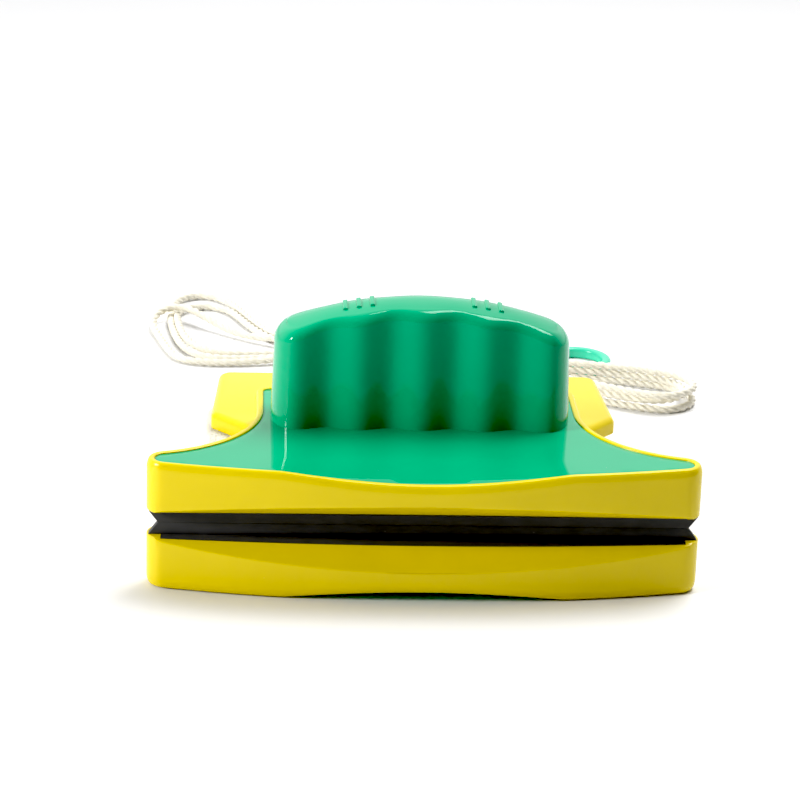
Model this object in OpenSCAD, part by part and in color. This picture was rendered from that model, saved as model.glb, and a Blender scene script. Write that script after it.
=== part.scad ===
// Double-sided magnetic window and tank wiper: two matching halves, one on each side of the glass,
// held together by the magnets inside them.  The outer half lies underneath on its cover, the inner
// half with the hand grip stands on it pad to pad, and the safety cord lies in a hank behind them.
// Frame: +X to the right, +Y to the rear, +Z up, origin on the floor under the middle of the body.

/* [Body outline] */
// Width across the front corners
body_w = 175; // [165:1:185]
// Depth from the bowed front to the rear edge of the deck
body_d = 132; // [126:1:140]
// Radius of the bowed front wall
front_r = 372; // [300:1:450]
// Width of the raised body at its waist
waist_w = 107; // [98:1:112]
// Radius of the hollow sides that run from the front corners to the waist
hollow_r = 40.2; // [36:0.1:44]
// Y of the centre of those hollow sides
hollow_y = -5.3; // [-8:0.1:-3]
// Y of the rear edge of the raised body
raised_rear_y = 18.7; // [15:0.1:22]
// Width of the low deck at its front corners
deck_w = 136.8; // [128:0.2:142]
// Width of the low deck at its rear corners
deck_rear_w = 131.8; // [124:0.2:136]

/* [Heights of one half, counted from the glass] */
// Gap between the glass and the face of the shell, filled by the pad
face_z = 4; // [3.5:0.1:5]
// Top of the low rear deck
deck_z = 9.8; // [9:0.1:11]
// Rim of the shell
rim_z = 21; // [20:0.1:23]
// How far the inner half's cover lies under its rim
cover_recess = 0.5; // [0.3:0.1:1]
// How far the outer half's cover stands proud of its rim, so that the rim clears the table
cover_proud = 0.4; // [0.2:0.1:0.8]
// Thickness of the cover plates
cover_t = 2.2; // [1.8:0.1:2.6]
// Wall of the shell
wall = 2.5; // [2:0.1:3]

/* [Finger scoop at the middle of the front edge] */
// Half width of the scoop
scoop_x = 45; // [40:1:50]
// Depth of the scoop at the front wall
scoop_dip = 3.3; // [2:0.1:3.6]
// How far back the scoop runs
scoop_run = 18; // [14:1:26]

/* [Hand grip] */
// Overall width of the grip
grip_w = 97.6; // [92:0.2:102]
// Overall depth of the grip
grip_d = 27.8; // [25:0.2:32]
// Height of the grip above its cover plate, at the middle
grip_h = 40.4; // [34:0.2:46]
// Y of the middle of the grip
grip_y = -8.6; // [-12:0.1:-6]
// Radius of the arched top
arch_r = 126; // [110:1:150]
// Distance between finger grooves
groove_pitch = 20.3; // [20:0.1:22]
// Depth of the finger grooves
groove_depth = 2.4; // [1.5:0.1:3]
// Wall of the grip
grip_wall = 2.4; // [2:0.1:3]

/* [Wiper blade] */
// Y of the front face of the blade's lip
blade_y = -53; // [-53.5:0.1:-52.5]
// Thickness of the rubber lip
blade_t = 3; // [2.5:0.1:3.4]
// Half width of the blade at its wiping edge
blade_tip_x = 83.8; // [80:0.1:84.5]
// Half width of the blade where it leaves the shell
blade_base_x = 86.8; // [85:0.1:87]
// Half width of the blade's root and of the channel that holds it
channel_x = 83; // [80:0.1:83]
// Y of the middle of the root's bowed front
root_y = -57.1; // [-57.6:0.1:-56.6]

/* [Cleaning pad] */
// Width of the pad
pad_w = 136; // [120:1:140]
// Depth of the pad
pad_d = 72; // [66:1:74]
// Thickness of the pad
pad_t = 3.3; // [2.5:0.1:3.4]
// How far the pad is glued to the left of the middle
pad_shift = 3.4; // [0:0.1:4]

/* [Magnets] */
// Width of a block magnet
magnet_w = 24; // [20:0.5:25]
// Depth of a block magnet
magnet_d = 17; // [14:0.5:18]
// Thickness of a block magnet
magnet_t = 6; // [4:0.5:6]
// Columns of magnets
magnet_cols = 3; // [2:1:3]
// Rows of magnets
magnet_rows = 2; // [1:1:2]

/* [Safety cord] */
// Diameter of the cotton cord
cord_d = 3; // [2.5:0.1:3.4]
// Height of the folded hank
hank_h = 10; // [9:0.5:13]
// Outer radius of the finger ring
ring_r = 13.5; // [12.5:0.5:14]
// Hole radius of the finger ring
ring_hole_r = 10; // [9:0.5:10.5]
// Thickness of the finger ring
ring_t = 4; // [3:0.5:5]

/* [Hidden] */
$fn = 48;
eps = 0.01;
clear = 0.1;

// Plan of one half
front_y = -body_d / 2;
rear_y = body_d / 2;
side_x = body_w / 2;
front_corner_r = 6.6;
tip_r = 6.6;
rear_corner_r = 5;
hollow_x = waist_w / 2 + hollow_r;
bow_y = front_y + front_r;
corner_c = [side_x - front_corner_r,
            bow_y - sqrt(pow(front_r - front_corner_r, 2) - pow(side_x - front_corner_r, 2))];
tip_c = [side_x - tip_r,
         hollow_y - sqrt(pow(hollow_r + tip_r, 2) - pow(hollow_x - side_x + tip_r, 2))];
rear_c = [waist_w / 2 - rear_corner_r, raised_rear_y - rear_corner_r];
deck_front_y = 22.6;
deck_root_y = 6;
deck_root_r = 0.5;
deck_corner_r = 3;
deck_rear_r = 4.5;
deck_pocket_w = 26;
deck_pocket_pitch = 30;
deck_pocket_y0 = 26;
deck_pocket_y1 = 48;

// Heights
mid_z = rim_z + cover_proud;
floor_t = 2.5;
pocket_z = face_z + floor_t;
cover_ledge = 1.5;
tray_t = 5;
yoke_t = 2;
yoke_z = pocket_z + magnet_t;
spacer_z = yoke_z + yoke_t;

// Blade channel and the bevel in front of it, which cuts the face off at bevel_y
channel_d = 5;
channel_top_z = 10;
root_bow = 1.45;
foot_z = 7.6;
bevel_y = -55.1;
bevel_slope = 0.633;
channel_wall = 3;
front_pocket_z = channel_top_z + channel_wall;
front_pocket_y = blade_y + channel_d + channel_wall;
retainer_gap = 0.6;
retainer_inset = 2;

// Grip
shoulder_r = 5;
bar_group_angle = 9.5;
bar_angle = 2;
bar_size = [1.6, 9, 1];

// Pad
pad_front_r = 5;
pad_rear_r = 20;
pad_rear_gap = 8;
backing_inset = 3;

// Magnets
rib = 2;
cell_w = magnet_w + 2 * clear;
cell_d = magnet_d + 2 * clear;
tray_w = magnet_cols * (cell_w + rib) + rib;
tray_d = magnet_rows * (cell_d + rib) + rib;
tray_y = -9;
yoke_corner_r = 2;
spacer_inset = 3;
spacer_corner_r = 3;

// Screws
case_screws = [[-56, -35], [56, -35], [-45.5, 9.5], [45.5, 9.5]];
grip_screws_x = [-36, -12, 12, 36];
boss_r = 3.4;
boss_split_z = 12;
screw_r = 1.3;
screw_clear_r = 1.6;
head_r = 2.8;
head_t = 1.8;
head_gap = 0.6;
screw_grip = 5;
grip_screw_grip = 10;
hole_spare = 0.5;
counterbore_r = 3;
counterbore_z = face_z + 2.2;

// Cord.  The lead's points run from the knot, down through the grommet and along the floor.
grommet_y = 57;
knot_pocket_r = 4.4;
web_z = 8;
grommet_bore_r = 2;
grommet_barrel_r = 3;
grommet_flange_r = 4.2;
grommet_flange_t = 0.8;
pad_gap = 0.4;
lead_start_z = mid_z - web_z + 0.2;
lead_points = [
    [0, 57, 13.6], [0, 57, 10.4], [0, 57.6, 7.4], [0, 59.6, 4.6], [-0.4, 62.6, 2.6],
    [-1, 66.5, 1.8], [-2.5, 72, 1.6], [-7, 82, 1.6], [-13, 91, 1.6], [-19, 100, 1.6],
    [-24, 109, 1.6], [-28, 118, 1.6], [-30, 128, 1.6], [-29, 138, 1.6], [-25, 147, 1.6],
    [-18, 158, 1.6]
];
tail_points = [
    [22, 173.4, 6], [30, 174.5, 3.4], [38, 173.5, 1.8], [46, 171, 1.6], [54.5, 167, 1.6]
];
hank_points = [
    [-97, 212, 14], [-91, 158, 22], [-50, 156, 30], [9, 160, 30], [93, 108, 14], [114, 110, 12],
    [116, 134, 12], [103, 147, 14], [66, 153.5, 30], [46, 161, 30], [10, 179, 30], [-26, 184, 30],
    [-42, 196, 20], [-63, 249, 12], [-88, 248, 12]
];
hank_centre_y = 169;
hank_neck_w = 19;
tie_x = 8;
tie_w = 8;
tie_t = 1.4;
tie_top = 10;
ring_c = [71, 167];
ring_edge = 0.8;
ring_knot_r = 3;
ring_knot_h = 5;
knot_r = 3.2;

// ---------- outlines ----------

// Points on an arc about c, from angle a0 to a1
function arc(c, r, a0, a1, steps) =
    [for (i = [0 : steps]) c + r * [cos(a0 + (a1 - a0) * i / steps), sin(a0 + (a1 - a0) * i / steps)]];

// Angle of the line from point a to point b
function heading(a, b) = atan2(b[1] - a[1], b[0] - a[0]);

function mirror_x(points) = [for (i = [len(points) - 1 : -1 : 0]) [-points[i][0], points[i][1]]];

// Right-hand edge of the raised body, inset by d, from the middle of the front to the rear corner
function raised_edge(d) =
    let (hollow_c = [hollow_x, hollow_y],
         a_corner = heading([0, bow_y], corner_c),
         a_tip = heading(tip_c, hollow_c))
    concat(
        arc([0, bow_y], front_r - d, -90, a_corner, 14),
        arc(corner_c, max(front_corner_r - d, eps), a_corner, 0, 8),
        arc(tip_c, max(tip_r - d, eps), 0, a_tip, 6),
        arc(hollow_c, hollow_r + d, a_tip + 180, 180, 20),
        arc(rear_c, rear_corner_r - d, 0, 90, 8)
    );

function raised_outline(d) = concat(raised_edge(d), mirror_x(raised_edge(d)));

function unit(v) = v / sqrt(v * v);

// Arc that rounds the corner p = [x, y, radius] between its neighbours a and b
function corner_arc(a, p, b) =
    let (q = [p[0], p[1]], u = unit([a[0], a[1]] - q), v = unit([b[0], b[1]] - q),
         half = acos(u * v) / 2, c = q + unit(u + v) * p[2] / sin(half),
         start = heading(c, q + u * p[2] / tan(half)),
         turn = heading(c, q + v * p[2] / tan(half)) - start,
         sweep = turn > 180 ? turn - 360 : turn < -180 ? turn + 360 : turn,
         steps = max(3, ceil(abs(sweep) / 12)))
    arc(c, p[2], start, start + sweep, steps);

// Closed outline through the corners [x, y, radius]
function rounded(corners) =
    let (n = len(corners))
    [for (i = [0 : n - 1]) each corner_arc(corners[(i + n - 1) % n], corners[i], corners[(i + 1) % n])];

deck_corners = [
    [-waist_w / 2, deck_root_y, deck_root_r], [waist_w / 2, deck_root_y, deck_root_r],
    [deck_w / 2, deck_front_y, deck_corner_r], [deck_rear_w / 2, rear_y, deck_rear_r],
    [-deck_rear_w / 2, rear_y, deck_rear_r], [-deck_w / 2, deck_front_y, deck_corner_r]
];

function box_corners(x0, y0, x1, y1, r) = [[x0, y0, r], [x1, y0, r], [x1, y1, r], [x0, y1, r]];

// Depth of the finger grooves at x
function groove(x) = groove_depth / 2 * (1 - cos(360 * x / groove_pitch));

// Plan of the grip, inset by d: lobed front and back, half-ellipse ends
function grip_outline(d) =
    let (flat_x = 2 * groove_pitch, end_x = grip_w / 2 - flat_x - d, half_d = grip_d / 2 - d)
    concat(
        [for (i = [-24 : 24]) [flat_x * i / 24, -half_d + groove(flat_x * i / 24)]],
        [for (a = [-81 : 9 : 81]) [flat_x + end_x * cos(a), half_d * sin(a)]],
        [for (i = [24 : -1 : -24]) [flat_x * i / 24, half_d - groove(flat_x * i / 24)]],
        [for (a = [99 : 9 : 261]) [-flat_x + end_x * cos(a), half_d * sin(a)]]
    );

// Front view of the grip's arched top, inset by d, with rounded shoulders
function arch_outline(d) =
    let (half_w = grip_w / 2 - d, r = arch_r - d, foot = r - grip_h - grip_d,
         s = [half_w - shoulder_r, sqrt(pow(r - shoulder_r, 2) - pow(half_w - shoulder_r, 2))],
         a_s = heading([0, 0], s))
    [for (p = concat([[-half_w, foot], [half_w, foot]],
                     arc(s, shoulder_r, 0, a_s, 8), arc([0, 0], r, a_s, 180 - a_s, 30),
                     arc([-s[0], s[1]], shoulder_r, 180 - a_s, 180, 8)))
        [p[0], p[1] - arch_r + grip_h]];

// ---------- placing ----------

// Children are drawn with z counted from the glass outwards
module on_inner() { translate([0, 0, mid_z]) children(); }
module on_outer() { translate([0, 0, mid_z]) mirror([0, 0, 1]) children(); }

module slab(points, z0, z1) { translate([0, 0, z0]) linear_extrude(z1 - z0) polygon(points); }

module block(x0, x1, y0, y1, z0, z1) { translate([x0, y0, z0]) cube([x1 - x0, y1 - y0, z1 - z0]); }

// Space above the scooped front edge, for a surface that is otherwise at height top
module scoop_space(top) {
    tilt = atan(scoop_dip / scoop_run);
    bell = [for (i = [-12 : 12]) [scoop_x * i / 12, -scoop_dip * (1 - i * i / 144)]];
    translate([0, front_y, top])
        rotate([tilt, 0, 0])
            translate([0, 40, 0])
                rotate([90, 0, 0])
                    linear_extrude(50)
                        polygon(concat(bell, [[scoop_x, 9], [-scoop_x, 9]]));
}

// ---------- shells and covers ----------

module bevel_space() {
    front = front_y - 4;
    rotate([90, 0, 90])
        translate([0, 0, -side_x - 2])
            linear_extrude(body_w + 4)
                polygon([[bevel_y, -1], [bevel_y, face_z],
                         [front, face_z + (bevel_y - front) * bevel_slope], [front, -1]]);
}

// Plan of the blade's root, bowed in front; spare widens it at the ends for the channel
function root_plan(spare) =
    let (half_w = channel_x - clear + spare, back = blade_y + channel_d)
    concat([for (i = [-10 : 10]) [half_w * i / 10, root_y + root_bow * i * i / 100 - spare]],
           [[half_w, back], [-half_w, back]]);

module shell_body() {
    slab(raised_outline(0), face_z, rim_z);
    slab(rounded(deck_corners), face_z, deck_z);
}

module shell_pockets() {
    intersection() {
        slab(raised_outline(wall + cover_ledge), pocket_z, rim_z + 1);
        block(-side_x, side_x, front_pocket_y, rear_y, pocket_z, rim_z + 1);
    }
    slab(raised_outline(wall + cover_ledge), front_pocket_z, rim_z + 1);
}

// Shallow pockets that core out the deck from the glass side
module deck_pockets() {
    for (i = [-1.5 : 1.5])
        translate([i * deck_pocket_pitch, 0, 0])
            block(-deck_pocket_w / 2, deck_pocket_w / 2, deck_pocket_y0, deck_pocket_y1,
                  face_z - 1, deck_z - floor_t);
}

module at_case_screws(z) {
    for (p = case_screws) translate([p[0], p[1], z]) children();
}

module shell(cover_top) {
    under = cover_top - cover_t;
    difference() {
        union() {
            difference() {
                shell_body();
                shell_pockets();
            }
            at_case_screws(counterbore_z - 1)
                cylinder(r = boss_r, h = boss_split_z - counterbore_z + 1);
        }
        slab(raised_outline(wall), under, rim_z + 1);
        intersection() {
            slab(raised_outline(wall), under - scoop_dip, rim_z + 1);
            block(-scoop_x - 1, scoop_x + 1, front_y, front_y + scoop_run, 0, rim_z + 1);
        }
        scoop_space(rim_z);
        bevel_space();
        slab(root_plan(clear), face_z - 1, channel_top_z);
        deck_pockets();
        at_case_screws(0) {
            cylinder(r = counterbore_r, h = counterbore_z);
            cylinder(r = screw_clear_r, h = rim_z);
        }
    }
}

module cover(cover_top) {
    under = cover_top - cover_t;
    difference() {
        union() {
            slab(raised_outline(wall + clear), under, cover_top);
            intersection() {
                slab(raised_outline(wall + clear), under - scoop_dip, cover_top);
                block(-scoop_x, scoop_x, front_y, front_y + scoop_run - 1, 0, cover_top);
            }
            at_case_screws(boss_split_z) cylinder(r = boss_r, h = under - boss_split_z + 1);
        }
        scoop_space(cover_top);
        at_case_screws(boss_split_z - 1) cylinder(r = screw_r, h = screw_grip + hole_spare + 1);
    }
}

module inner_shell() { color("gold") on_inner() shell(rim_z - cover_recess); }

module outer_shell() {
    color("gold") on_outer()
        difference() {
            shell(rim_z + cover_proud);
            translate([0, grommet_y, 0]) cylinder(r = knot_pocket_r, h = web_z);
            translate([0, grommet_y, 0]) cylinder(r = grommet_barrel_r, h = deck_z + 1);
        }
}

module inner_cover() {
    color("seagreen") on_inner()
        difference() {
            cover(rim_z - cover_recess);
            for (x = grip_screws_x)
                translate([x, grip_y, 0]) cylinder(r = screw_clear_r, h = rim_z);
        }
}

module outer_cover() { color("seagreen") on_outer() cover(rim_z + cover_proud); }

// ---------- hand grip ----------

module grip_solid(d) {
    intersection() {
        linear_extrude(grip_h) polygon(grip_outline(d));
        translate([0, grip_d, 0]) rotate([90, 0, 0]) linear_extrude(2 * grip_d) polygon(arch_outline(d));
    }
}

// Raised bars on the arched top, two groups of three
module grip_bars() {
    for (side = [-1, 1], i = [-1 : 1])
        rotate([0, side * bar_group_angle + i * bar_angle, 0])
            translate([0, 0, arch_r]) cube(bar_size, center = true);
}

module hand_grip() {
    top = rim_z - cover_recess;
    color("seagreen") on_inner() translate([0, grip_y, top]) {
        difference() {
            grip_solid(0);
            translate([0, 0, -eps]) grip_solid(grip_wall);
        }
        for (x = grip_screws_x)
            translate([x, 0, 0])
                difference() {
                    cylinder(r = boss_r, h = arch_r * (cos(asin(x / arch_r)) - 1) + grip_h - grip_wall / 2);
                    translate([0, 0, -eps]) cylinder(r = screw_r, h = grip_screw_grip + 4 * hole_spare);
                }
        translate([0, 0, grip_h - arch_r]) grip_bars();
    }
}

// ---------- magnets and what holds them ----------

module at_cells() {
    for (i = [0 : magnet_cols - 1], j = [0 : magnet_rows - 1])
        translate([(i - (magnet_cols - 1) / 2) * (cell_w + rib),
                   tray_y + (j - (magnet_rows - 1) / 2) * (cell_d + rib), pocket_z])
            children();
}

module magnets() {
    at_cells() translate([-magnet_w / 2, -magnet_d / 2, 0]) cube([magnet_w, magnet_d, magnet_t]);
}

module magnet_tray() {
    difference() {
        block(-tray_w / 2, tray_w / 2, tray_y - tray_d / 2, tray_y + tray_d / 2,
              pocket_z, pocket_z + tray_t);
        at_cells() translate([-cell_w / 2, -cell_d / 2, -1]) cube([cell_w, cell_d, tray_t + 2]);
    }
}

module yoke() {
    slab(rounded(box_corners(-tray_w / 2, tray_y - tray_d / 2, tray_w / 2, tray_y + tray_d / 2,
                              yoke_corner_r)),
         yoke_z, yoke_z + yoke_t);
}

// Foam block that presses the yoke and magnets down; head_room keeps it off the grip's screw heads
module foam_spacer(top, head_room) {
    difference() {
        slab(rounded(box_corners(-tray_w / 2 + spacer_inset, tray_y - tray_d / 2 + spacer_inset,
                                 tray_w / 2 - spacer_inset, tray_y + tray_d / 2 - spacer_inset,
                                 spacer_corner_r)), spacer_z, top);
        for (x = head_room > 0 ? grip_screws_x : [])
            translate([x, grip_y, top - head_room]) cylinder(r = head_r + head_gap, h = head_room + 1);
    }
}

module inner_magnets() { color("dimgray") on_inner() magnets(); }
module outer_magnets() { color("dimgray") on_outer() magnets(); }
module inner_magnet_tray() { color("ivory") on_inner() magnet_tray(); }
module outer_magnet_tray() { color("ivory") on_outer() magnet_tray(); }
module inner_yoke() { color("silver") on_inner() yoke(); }
module outer_yoke() { color("silver") on_outer() yoke(); }
module inner_foam_spacer() {
    color("gray") on_inner() foam_spacer(rim_z - cover_recess - cover_t, head_t + head_gap);
}
module outer_foam_spacer() {
    color("gray") on_outer() foam_spacer(rim_z + cover_proud - cover_t, 0);
}

// ---------- wiper blade, pad and screws ----------

// Lip with slanted ends, and a root that is flush with the face and the bevel, with room behind
// the lip for the retainer
module blade() {
    in_x = channel_x - clear;
    lip_view = [[-blade_tip_x, 0], [blade_tip_x, 0], [blade_base_x, face_z], [-blade_base_x, face_z]];
    translate([0, blade_y + blade_t, 0]) rotate([90, 0, 0]) linear_extrude(blade_t) polygon(lip_view);
    difference() {
        slab(root_plan(0), face_z, channel_top_z);
        bevel_space();
        block(-in_x - 1, in_x + 1, blade_y + blade_t, blade_y + channel_d + 1, face_z - 1, foot_z);
    }
}

module blade_retainer() {
    in_x = channel_x - retainer_inset;
    block(-in_x, in_x, blade_y + blade_t, blade_y + channel_d, face_z + retainer_gap, foot_z);
}

module pad(inset, z0, z1) {
    half_w = pad_w / 2 - inset;
    y1 = rear_y - pad_rear_gap;
    x0 = -pad_shift - half_w;
    x1 = half_w - pad_shift;
    slab(rounded([[x0, y1 - pad_d + inset, pad_front_r], [x1, y1 - pad_d + inset, pad_front_r],
                  [x1, y1 - inset, pad_rear_r - inset], [x0, y1 - inset, pad_rear_r - inset]]), z0, z1);
}

module case_screw_set() {
    at_case_screws(counterbore_z - head_t) cylinder(r = head_r, h = head_t);
    at_case_screws(counterbore_z - eps)
        cylinder(r = screw_r, h = boss_split_z + screw_grip - counterbore_z);
}

module inner_blade() { color("black") on_inner() blade(); }
module outer_blade() { color("black") on_outer() blade(); }
module inner_blade_retainer() { color("dimgray") on_inner() blade_retainer(); }
module outer_blade_retainer() { color("dimgray") on_outer() blade_retainer(); }
module inner_pad() { color("ivory") on_inner() pad(0, 0, pad_t); }
module outer_pad() { color("ivory") on_outer() pad(0, 0, pad_t); }
module inner_pad_backing() { color("lightgray") on_inner() pad(backing_inset, pad_t, face_z); }
module outer_pad_backing() { color("lightgray") on_outer() pad(backing_inset, pad_t, face_z); }
module inner_case_screws() { color("silver") on_inner() case_screw_set(); }
module outer_case_screws() { color("silver") on_outer() case_screw_set(); }

module grip_screws() {
    under = rim_z - cover_recess - cover_t;
    color("silver") on_inner()
        for (x = grip_screws_x)
            translate([x, grip_y, 0]) {
                translate([0, 0, under - head_t]) cylinder(r = head_r, h = head_t);
                translate([0, 0, under - eps]) cylinder(r = screw_r, h = cover_t + grip_screw_grip);
            }
}

// ---------- safety cord ----------

module cord_grommet() {
    color("silver") on_outer() translate([0, grommet_y, 0])
        difference() {
            union() {
                translate([0, 0, web_z]) cylinder(r = grommet_barrel_r, h = deck_z - web_z);
                translate([0, 0, deck_z]) cylinder(r = grommet_flange_r, h = grommet_flange_t);
            }
            translate([0, 0, web_z - 1]) cylinder(r = grommet_bore_r, h = deck_z);
        }
}

module cord_knot() {
    color("ivory") translate([0, grommet_y, lead_start_z])
        cylinder(r = knot_r, h = mid_z - face_z - pad_gap - lead_start_z);
}

// Unit vector along the route at point i
function along(p, i) =
    unit(p[min(i + 1, len(p) - 1)] - p[max(i - 1, 0)]);

// Tube with 8 sides swept along points p.  No stretch of the cord runs along side_hint, so the
// rings don't twist.
module tube(p, r) {
    sides = 8;
    side_hint = [0.9, 0.1, 0.42];
    n = len(p);
    ring = [for (i = [0 : n - 1])
        let (t = along(p, i), u = unit(cross(t, side_hint)), v = cross(t, u))
        each [for (k = [0 : sides - 1]) p[i] + r * (cos(360 * k / sides) * u + sin(360 * k / sides) * v)]];
    walls = [for (i = [0 : n - 2], k = [0 : sides - 1])
        let (a = i * sides + k, b = i * sides + (k + 1) % sides) [a, b, b + sides, a + sides]];
    polyhedron(points = ring, faces = concat(walls,
        [[for (k = [sides - 1 : -1 : 0]) k]], [[for (k = [0 : sides - 1]) (n - 1) * sides + k]]));
}

module cord_lead() { color("ivory") tube(lead_points, cord_d / 2); }

module cord_tail() { color("ivory") tube(tail_points, cord_d / 2); }

// Block across the hank at its tie; grow makes it that much larger all round
module neck_block(grow, length) {
    half_w = hank_neck_w / 2 + grow;
    block(tie_x - length / 2, tie_x + length / 2, hank_centre_y - half_w, hank_centre_y + half_w,
          tie_t - grow, tie_top + grow);
}

module cord_hank() {
    color("ivory") {
        difference() {
            linear_extrude(hank_h) polygon(rounded(hank_points));
            neck_block(hank_h, tie_w);
        }
        neck_block(0, tie_w);
    }
}

module cord_tie() {
    color("ivory")
        difference() {
            neck_block(tie_t, tie_w);
            neck_block(0, tie_w + 1);
        }
}

module ring_knot() {
    color("ivory") translate([ring_c[0] - ring_r - ring_knot_r, ring_c[1], 0])
        cylinder(r = ring_knot_r, h = ring_knot_h);
}

module finger_ring() {
    color("mediumaquamarine") translate([ring_c[0], ring_c[1], 0])
        rotate_extrude($fn = 96)
            polygon([[ring_hole_r, 0], [ring_r - ring_edge, 0], [ring_r, ring_edge],
                     [ring_r, ring_t - ring_edge], [ring_r - ring_edge, ring_t], [ring_hole_r, ring_t]]);
}

inner_shell();
inner_cover();
hand_grip();
inner_magnets();
inner_yoke();
inner_magnet_tray();
inner_foam_spacer();
inner_blade();
inner_blade_retainer();
inner_pad();
inner_pad_backing();
inner_case_screws();
grip_screws();
outer_shell();
outer_cover();
outer_magnets();
outer_yoke();
outer_magnet_tray();
outer_foam_spacer();
outer_blade();
outer_blade_retainer();
outer_pad();
outer_pad_backing();
outer_case_screws();
cord_grommet();
cord_knot();
cord_lead();
cord_hank();
cord_tie();
cord_tail();
ring_knot();
finger_ring();
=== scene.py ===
"""Magnetic glass cleaner: the finished shells, grip, pads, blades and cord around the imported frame."""
import math

import bmesh
import bpy
import numpy as np
from mathutils import Matrix, Vector, geometry, noise


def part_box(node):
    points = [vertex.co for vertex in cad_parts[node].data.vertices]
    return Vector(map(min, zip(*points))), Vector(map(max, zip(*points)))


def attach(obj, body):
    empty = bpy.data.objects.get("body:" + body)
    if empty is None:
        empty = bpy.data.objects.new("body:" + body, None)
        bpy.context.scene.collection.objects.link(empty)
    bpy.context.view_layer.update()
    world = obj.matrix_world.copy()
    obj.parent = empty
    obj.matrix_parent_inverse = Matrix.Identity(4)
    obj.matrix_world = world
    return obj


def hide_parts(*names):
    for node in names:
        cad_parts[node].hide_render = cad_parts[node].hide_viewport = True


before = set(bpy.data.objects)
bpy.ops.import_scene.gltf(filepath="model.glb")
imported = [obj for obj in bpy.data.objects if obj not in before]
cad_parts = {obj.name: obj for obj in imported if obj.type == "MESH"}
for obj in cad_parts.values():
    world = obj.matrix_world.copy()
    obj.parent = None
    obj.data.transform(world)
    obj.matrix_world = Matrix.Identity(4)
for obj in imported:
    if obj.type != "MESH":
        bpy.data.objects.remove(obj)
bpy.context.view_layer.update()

MM = 0.001
INNER, OUTER = "inner_half", "outer_half"


def corners(node):
    """Lowest and highest corner of a CAD node, in millimetres."""
    low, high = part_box(node)
    return np.array(low) / MM, np.array(high) / MM


def add_object(name, data):
    """New object in the scene."""
    added = bpy.data.objects.new(name, data)
    bpy.context.scene.collection.objects.link(added)
    return added


# ---------- sizes, in millimetres; heights in a half are counted from the glass outwards ----------

SHELL_LOW, SHELL_HIGH = corners("outer_shell")
GLASS_Z = corners("outer_pad")[1][2]
SIDE_X, FRONT_Y, REAR_Y = SHELL_HIGH[0], SHELL_LOW[1], SHELL_HIGH[1]
FACE_Z = GLASS_Z - SHELL_HIGH[2]
RIM_Z = GLASS_Z - SHELL_LOW[2]
INNER_TOP = corners("inner_cover")[1][2] - GLASS_Z
OUTER_TOP = GLASS_Z - corners("outer_cover")[0][2]
COVER_T = 2.2
WALL = 2.5
CLEAR = 0.1
COVER_LEDGE = 1.5
SEAT_INSET = WALL + COVER_LEDGE - CLEAR

FRONT_R = 372.0
FRONT_CORNER_R = 6.6
TIP_R = 6.6
HOLLOW_R = 40.2
HOLLOW_Y = -5.3
WAIST_X = 53.5
RAISED_REAR_Y = 18.7
REAR_CORNER_R = 5.0
HOLLOW_X = WAIST_X + HOLLOW_R
BOW_Y = FRONT_Y + FRONT_R

DECK_Z = 9.8
DECK_CORNERS = [(-WAIST_X, 6.0, 0.5), (WAIST_X, 6.0, 0.5), (68.4, 22.6, 3.0),
                (65.9, REAR_Y, 4.5), (-65.9, REAR_Y, 4.5), (-68.4, 22.6, 3.0)]
DECK_FILLET = 2.2

SCOOP_X = 45.0
SCOOP_DIP = 3.3
SCOOP_RUN = 18.0
SCOOP_SIDE_EASE = 0.06
SCOOP_REAR_EASE = 0.07

BLADE_LOW, BLADE_HIGH = corners("inner_blade")
ROOT_Y = BLADE_LOW[1]
ROOT_BOW = 1.45
BLADE_BACK_Y = BLADE_HIGH[1]
BLADE_Y = BLADE_BACK_Y - 5.0
BLADE_T = 3.0
BLADE_TIP_X = 83.8
BLADE_BASE_X = BLADE_HIGH[0]
CHANNEL_X = 83.0
CHANNEL_TOP_Z = BLADE_HIGH[2] - GLASS_Z
FOOT_Z = 7.6
BEVEL_Y = -55.1
BEVEL_SLOPE = 0.633
POCKET_Z = 6.5
CUP_FLOOR_Z = 13.0
POCKET_Y = BLADE_BACK_Y + 3.0
MAGNET_COLUMNS = [-45.0, -15.0, 15.0, 45.0]
MAGNET_HALF_W = 13.0
MAGNET_Y = (26.0, 48.0)
MAGNET_ROOF = 2.5

GRIP_LOW, GRIP_HIGH = corners("hand_grip")
GRIP_Y = (GRIP_LOW[1] + GRIP_HIGH[1]) / 2
GRIP_W = GRIP_HIGH[0] - GRIP_LOW[0]
GRIP_D = GRIP_HIGH[1] - GRIP_LOW[1]
GRIP_H = 40.4
ARCH_R = 126.0
GROOVE_PITCH = 20.3
GROOVE_DEPTH = 2.4
GRIP_WALL = 2.4
GRIP_FILLET = 4.0
GRIP_DRAFT = 0.9
GRIP_CROWN = 0.6
REAR_FALL = 2.4

CASE_SCREWS = [(-56.0, -35.0), (56.0, -35.0), (-45.5, 9.5), (45.5, 9.5)]
GRIP_SCREWS = [(x, GRIP_Y) for x in (-36.0, -12.0, 12.0, 36.0)]
BOSS_R = 3.4
BOSS_SPLIT_Z = 12.0
SCREW_CLEAR_R = 1.6
COUNTERBORE_R = 3.0
COUNTERBORE_Z = FACE_Z + 2.2
PILOT_R = 1.35
PILOT_DEPTH = 5.5
GRIP_PILOT_R = 1.3
GRIP_PILOT_DEPTH = 11.0

GROMMET_Y = 57.0
GROMMET_FLANGE_R = 4.4
GROMMET_FLANGE_Z = 8.0
GROMMET_BARREL_R = 3.0
ROPE_R = 1.5
STRANDS = 3


# ---------- camera ----------

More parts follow.
